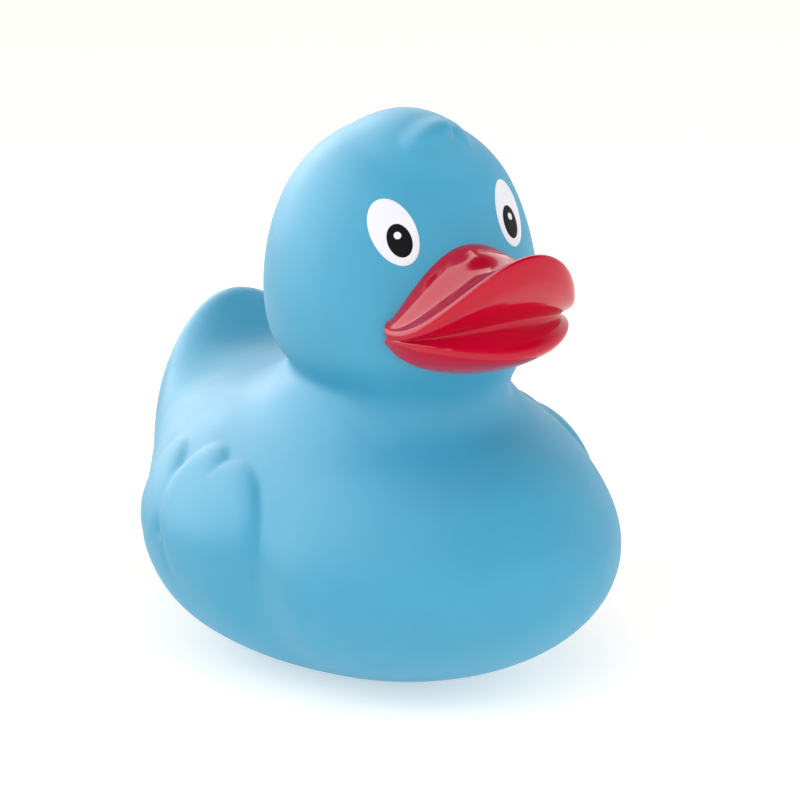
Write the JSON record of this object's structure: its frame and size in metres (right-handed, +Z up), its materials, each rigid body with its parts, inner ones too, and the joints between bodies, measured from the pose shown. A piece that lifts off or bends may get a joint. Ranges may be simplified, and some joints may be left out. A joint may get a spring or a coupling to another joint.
{
  "type": "squeaking bath duck",
  "caption": "Hollow soft-vinyl duck that stands and floats, with a glossy bill, printed eyes, moulded wings and tail, and a reed squeaker pressed into its base.",
  "frame": {"origin": "on the floor that the duck stands on, under the middle of its bounding box", "axes": "+Z up, the duck faces -Y, and X = 0 is its plane of symmetry"},
  "size_m": [0.075, 0.0945, 0.092],
  "materials": {
    "blue_vinyl": "satin",
    "red_gloss_paint": "gloss",
    "white_ink": "satin",
    "black_ink": "satin",
    "milky_plastic": "satin",
    "cap_plastic": "satin",
    "reed_brass": "satin"
  },
  "bodies": {
    "duck": {"body_shell": "blue_vinyl", "bill_paint": "red_gloss_paint", "eye_white_right": "white_ink", "eye_white_left": "white_ink", "eye_pupil_right": "black_ink", "eye_pupil_left": "black_ink", "eye_glint_right": "white_ink", "eye_glint_left": "white_ink", "squeaker_housing": "milky_plastic", "squeaker_reed_seat": "milky_plastic", "squeaker_reed_wedge": "milky_plastic", "squeaker_cap": "cap_plastic"},
    "reed": {"squeaker_reed": "reed_brass"}
  },
  "joints": [
    {"name": "reed_flex", "type": "hinge", "parent": "duck", "child": "reed", "pos_m": [0.0014, 0, 0.0118], "axis": [0, 1, 0], "range_deg": [-4, 2], "stiffness_Nm_per_rad": 0.0001}
  ]
}
